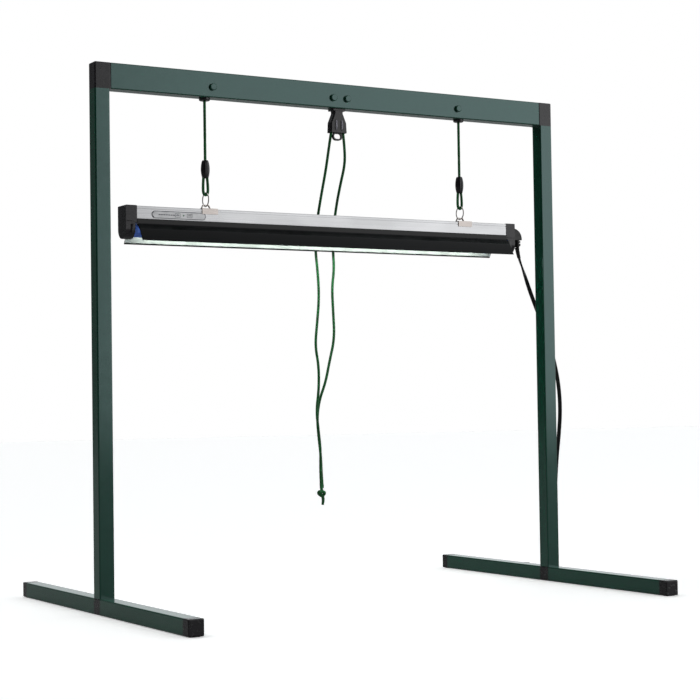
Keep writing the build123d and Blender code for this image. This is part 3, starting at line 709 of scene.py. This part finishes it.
# ---------------------------------------------------------------- fixture
def make_reflector():
    """Bent sheet, black outside and white inside, the white greyed and tinted green as painted shade and
    painted reflection, with black hems along its lower edges.
    """
    low, high = (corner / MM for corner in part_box("reflector"))
    reach = high.y
    bottom = low.z
    hem = 1.8               # height of the hem, and the room it takes off the white side
    web_top = 0.4709        # in metres; the white side lies below it
    outer = [(13.1, 475.5, 0.3), (13.1, 469.4, 1.2), (20.8, 462.2, 4.0), (reach, bottom + 0.3, 0.3),
             (reach - 0.5, bottom, 0.3), (reach - 1.0, bottom + 0.2, 0.3), (reach - 1.96, bottom + hem, 0)]
    inner = [(20.0, 461.4, 3.4), (12.1, 468.5, 0.8), (10.9, 470.2, 0.4), (-10.9, 470.2, 0.4),
             (-12.1, 468.5, 0.8), (-20.0, 461.4, 3.4)]
    other = [(-y, z, r) for y, z, r in reversed(outer)]
    seat = [(-12.1, 475.5, 0.2), (-12.1, 471.2, 0.2), (12.1, 471.2, 0.2), (12.1, 475.5, 0.2)]
    outline = rounded(outer + inner + other + seat, 4)
    bm = bmesh.new()
    add_prism(bm, outline, low.x, high.x, lambda a, b, h: (h, a, b))
    mesh = finish_solid("reflector_sheet", bm)
    mesh.materials.append(MATERIALS["reflector_black"])
    mesh.materials.append(MATERIALS["reflector_white"])
    for face in mesh.polygons:
        if face.normal.z < -0.15 and face.center.z < web_top and abs(face.center.y) < (reach - hem) * MM:
            face.material_index = 1
    sheet = add_piece("reflector_sheet", mesh, "reflector_black", "light")
    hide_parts("reflector")


def make_cap_details():
    """Raised lamp latch and a seam line on both long faces of each end cap."""
    for word, way in (("left", -1), ("right", 1)):
        low, high = (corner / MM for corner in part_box(f"end_cap_{word}"))
        outer_x = low.x if way < 0 else high.x
        latch_x = outer_x - way * 11.6
        latch_end = latch_x + way * 5.2
        latch_low, latch_high, latch_corner = 457.5, 468.6, 0.8
        seam_x, seam_end = outer_x - way * 13.8, outer_x - way * 0.9
        seam_low, seam_high = 471.6, 472.5
        sunk, latch_out, seam_out = 0.3, 0.8, 0.35      # into the cap's face, and out of it
        bm = bmesh.new()
        for face in (-1, 1):
            y = face * high.y
            corners = [(latch_x, latch_low, latch_corner), (latch_end, latch_low, latch_corner),
                       (latch_end, latch_high, latch_corner), (latch_x, latch_high, latch_corner)]
            latch = rounded(corners, 3)
            add_prism(bm, latch, y - face * sunk, y + face * latch_out, lambda a, b, h: (a, h, b))
            seam = [(seam_x, seam_low), (seam_end, seam_low), (seam_end, seam_high), (seam_x, seam_high)]
            add_prism(bm, seam, y - face * sunk, y + face * seam_out, lambda a, b, h: (a, h, b))
        add_piece(f"cap_latch_{word}", finish_solid("cap_latch", bm, 0.15, 2), "black_plastic", "light")


def make_lock_ribs():
    """Rounded crown on each of the cord lock's two grip ribs, coloured light grey as a painted highlight."""
    bm = bmesh.new()
    half_sizes = Matrix.Diagonal((1.35 * MM, 1.0 * MM, 6.4 * MM, 1))
    for x in (-4.2, 4.2):
        place = Matrix.Translation((x * MM, -6.1 * MM, 610 * MM)) @ half_sizes
        bmesh.ops.create_uvsphere(bm, u_segments=24, v_segments=16, radius=1, matrix=place)
    mesh = finish_solid("lock_ribs", bm)
    # Painted highlight: the rib crowns get a light lilac grey that stands in for the glints on glossy black
    # plastic
    mesh.materials.append(moulded_plastic("painted_highlight_rib_plastic", (0.50, 0.48, 0.56), (0.16, 0.22), 0.000004))
    add_piece("lock_ribs", mesh, "black_plastic", "stand")


def make_label():
    """Generic marks on the blank oval plate: a border, two boxes, a row of blocks, an arc and a green dot."""
    middle = centre_of("label_plate")
    low, high = (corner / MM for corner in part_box("label_plate"))
    half_x, half_z = (high.x - low.x) / 2, (high.z - low.z) / 2
    face = low.y

    def front(a, b, h):
        return middle.x + a, face - h, middle.z + b

    bm = bmesh.new()
    border = 0.75
    ring = []
    for grow in (0, -border):
        x, z = half_x + grow, half_z + grow
        corners = [(-x, -z, z * 0.98), (x, -z, z * 0.98), (x, z, z * 0.98), (-x, z, z * 0.98)]
        ring.append(rounded(corners, 8))
    count = len(ring[0])
    for k in range(count):
        n = (k + 1) % count
        quad = [ring[0][k], ring[0][n], ring[1][n], ring[1][k]]
        add_prism(bm, quad, -0.02, 0.06, front)
    for x in (-1.5, 14.5):
        for a, b, wide, tall in ((x, 2.2, 7.0, 0.45), (x, -2.2, 7.0, 0.45), (x - 3.3, 0, 0.45, 4.4),
                                 (x + 3.3, 0, 0.45, 4.4), (x, 0, 4.4, 0.7), (x, 1.1, 3.2, 0.4)):
            box = [(a - wide / 2, b - tall / 2), (a + wide / 2, b - tall / 2), (a + wide / 2, b + tall / 2),
                   (a - wide / 2, b + tall / 2)]
            add_prism(bm, box, -0.02, 0.06, front)
    for k in range(7):
        x = -27.0 + 3.2 * k
        box = [(x, -0.5), (x + 2.4, -0.5), (x + 2.4, 0.6), (x, 0.6)]
        add_prism(bm, box, -0.02, 0.05, front)
    arc = [(-half_x + 4.2 + 3.6 * cos(t), 3.6 * sin(t)) for t in (radians(110 + 14 * k) for k in range(11))]
    for (ax, az), (bx, bz) in zip(arc, arc[1:]):
        add_prism(bm, [(ax, az), (bx, bz), (bx * 0.99, bz * 0.8), (ax * 0.99, az * 0.8)], -0.02, 0.07, front)
    add_piece("label_marks", finish_solid("label_marks", bm), "components", "light")
    bm = bmesh.new()
    dot = [(6.4 + 0.95 * cos(tau * k / 16), 0.95 * sin(tau * k / 16)) for k in range(16)]
    add_prism(bm, dot, -0.02, 0.08, front)
    add_piece("label_dot", finish_solid("label_dot", bm), "cord_green", "light")


def make_lead_boot():
    """Tapered end of the connector's strain relief, around the first stretch of the lead."""
    line = read_line(LEAD[:4], 40)
    run = distances(line)
    boot_length = 0.015
    line = [p for p, r in zip(line, run) if r < boot_length]
    run = run[:len(line)]
    frames = [frame_at(line, i, Vector((0, 1, 0))) for i in range(len(line))]

    def ring(i, k):
        share = run[i] / run[-1]
        angle = tau * k / 24
        ripple = 0.25 * MM * max(0, sin(share * 5 * pi)) * (1 - share)
        across = (3.5 - 0.5 * share) * MM + ripple
        over = (2.6 - 0.75 * share) * MM + ripple
        return across * cos(angle), over * sin(angle)

    mesh = sweep("lead_boot", line, frames, ring, 24)
    return add_piece("lead_boot", mesh, "lead_black", "light")


# ---------------------------------------------------------------- plug and tie
def make_plug():
    """Moulded plug with a waisted grip and finger ribs."""
    low, high = (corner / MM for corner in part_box("plug_body"))
    x = (low.x + high.x) / 2
    z = (low.z + high.z) / 2
    wide, tall = (high.x - low.x) / 2, (high.z - low.z) / 2
    length = high.y - low.y
    count, steps = 40, 44
    neck_wide, neck_tall = 4.2, 3.0
    finger_ribs = 7
    bm = bmesh.new()
    rings = []
    for k in range(steps + 1):
        share = k / steps
        grow = min(share / 0.55, 1)
        grow = grow * grow * (3 - 2 * grow)
        rib = 0.35 * max(0, sin(share * 2 * pi * finger_ribs)) * (0.08 < share < 0.62)
        edge = 0.7 * max(0, (share - 0.96) / 0.04)
        a = neck_wide + (wide - neck_wide) * grow + rib - edge
        b = neck_tall + (tall - neck_tall) * grow + 0.5 * rib - edge
        ring = []
        for n in range(count):
            angle = tau * n / count
            c, q = cos(angle), sin(angle)
            power = 2.0 / (2.0 + 2.4 * grow)
            across = a * abs(c) ** power * (1 if c > 0 else -1)
            over = b * abs(q) ** power * (1 if q > 0 else -1)
            ring.append(bm.verts.new(Vector((x + across, low.y + length * share, z + over)) * MM))
        rings.append(ring)
    for first, second in zip(rings, rings[1:]):
        for n in range(count):
            m = (n + 1) % count
            bm.faces.new((first[n], first[m], second[m], second[n]))
    bm.faces.new(rings[0])
    bm.faces.new(list(reversed(rings[-1])))
    plug = add_piece("mains_plug", finish_solid("mains_plug", bm, sharp=60), "lead_black", "stand")
    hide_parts("plug_body")
    return plug


def make_blades():
    """Two flat blades, each with a rounded tip and a hole."""
    low, high = (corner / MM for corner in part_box("plug_blades"))
    z = (low.z + high.z) / 2
    bm = bmesh.new()
    thin, half, tip = 0.75, 3.15, 1.8     # half thickness, half width and tip radius of a blade
    hole_radius = 1.6
    hole_y = high.y - 4.5
    for x in (low.x + thin, high.x - thin):
        outer = rounded([(low.y, -half, 0), (high.y, -half, tip), (high.y, half, tip), (low.y, half, 0)], 5)
        hole = [(hole_y + hole_radius * cos(tau * k / 20), hole_radius * sin(tau * k / 20))
                for k in range(20)]
        rings = []
        for side in (-thin, thin):
            rim = [bm.verts.new(Vector((x + side, y, z + h)) * MM) for y, h in outer]
            gap = [bm.verts.new(Vector((x + side, y, z + h)) * MM) for y, h in hole]
            edges = [bm.edges.new((v, loop[(i + 1) % len(loop)]))
                     for loop in (rim, gap) for i, v in enumerate(loop)]
            bmesh.ops.triangle_fill(bm, edges=edges, use_beauty=True)
            rings.append((rim, gap))
        for part in (0, 1):
            a, b = rings[0][part], rings[1][part]
            for k in range(len(a)):
                n = (k + 1) % len(a)
                bm.faces.new((a[k], a[n], b[n], b[k]))
    blades = add_piece("plug_contacts", finish_solid("plug_contacts", bm), "brass", "stand")
    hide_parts("plug_blades")
    return blades


def make_tie():
    """Soft strap round the hank, its end lapped over the top."""
    low, high = (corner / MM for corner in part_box("cord_tie"))
    middle = (low + high) / 2
    half_x, half_z = (high.x - low.x) / 2, (high.z - low.z) / 2
    thick = 0.9
    outer = rounded([(-half_x, -half_z, 1.2), (half_x, -half_z, 1.2),
                     (half_x, half_z, 3.0), (-half_x, half_z, 3.0)])
    inner = rounded([(thick - half_x, thick - half_z, 0.5), (half_x - thick, thick - half_z, 0.5),
                     (half_x - thick, half_z - thick, 2.2), (thick - half_x, half_z - thick, 2.2)])
    bm = bmesh.new()
    widths = [-4.0 + 8.0 * k / 8 for k in range(9)]

    def place(a, b, y):
        return Vector((middle.x + a, middle.y + y, middle.z + b)) * MM

    shells = [[[bm.verts.new(place(a, b, y)) for a, b in loop] for y in widths] for loop in (outer, inner)]
    count = len(outer)
    for shell in shells:
        for first, second in zip(shell, shell[1:]):
            for k in range(count):
                n = (k + 1) % count
                bm.faces.new((first[k], first[n], second[n], second[k]))
    for end in (0, -1):
        for k in range(count):
            n = (k + 1) % count
            bm.faces.new((shells[0][end][k], shells[0][end][n], shells[1][end][n], shells[1][end][k]))
    lap = rounded([(-14, -3.7, 0.8), (9, -3.7, 0.8), (9, 3.7, 0.8), (-14, 3.7, 0.8)], 4)
    add_prism(bm, lap, half_z - 0.1, half_z + 0.8, lambda a, b, h: (middle.x + a, middle.y + b, middle.z + h))
    tie = add_piece("hank_tie", finish_solid("hank_tie", bm, sharp=50), "black_plastic", "stand")
    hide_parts("cord_tie")
    return tie


# ---------------------------------------------------------------- edges of the CAD pieces
def round_cad_edges():
    """Small radius on the sharp edges of moulded and pressed CAD pieces."""
    widths = {"lock_body": 0.45, "lock_wedge": 0.35, "end_cap_left": 0.45, "end_cap_right": 0.45,
              "power_connector": 0.5, "clip_left": 0.12, "clip_right": 0.12, "light_housing": 0.15,
              "tee_left": 0.3, "tee_right": 0.3}
    for name, width in widths.items():
        bevel = nodes[name].modifiers.new("rounded_edges", "BEVEL")
        bevel.width = width * MM
        bevel.segments = 2
        bevel.limit_method = "ANGLE"
        bevel.angle_limit = radians(40)


for word in ("left", "right"):
    make_bead(word)
make_reflector()
make_cap_details()
make_lock_ribs()
make_label()
round_cad_edges()
knot = make_knot()
boot = make_lead_boot()
plug_pieces = [make_plug(), make_blades(), make_tie()]
make_hanging_cords()
make_power_cord()
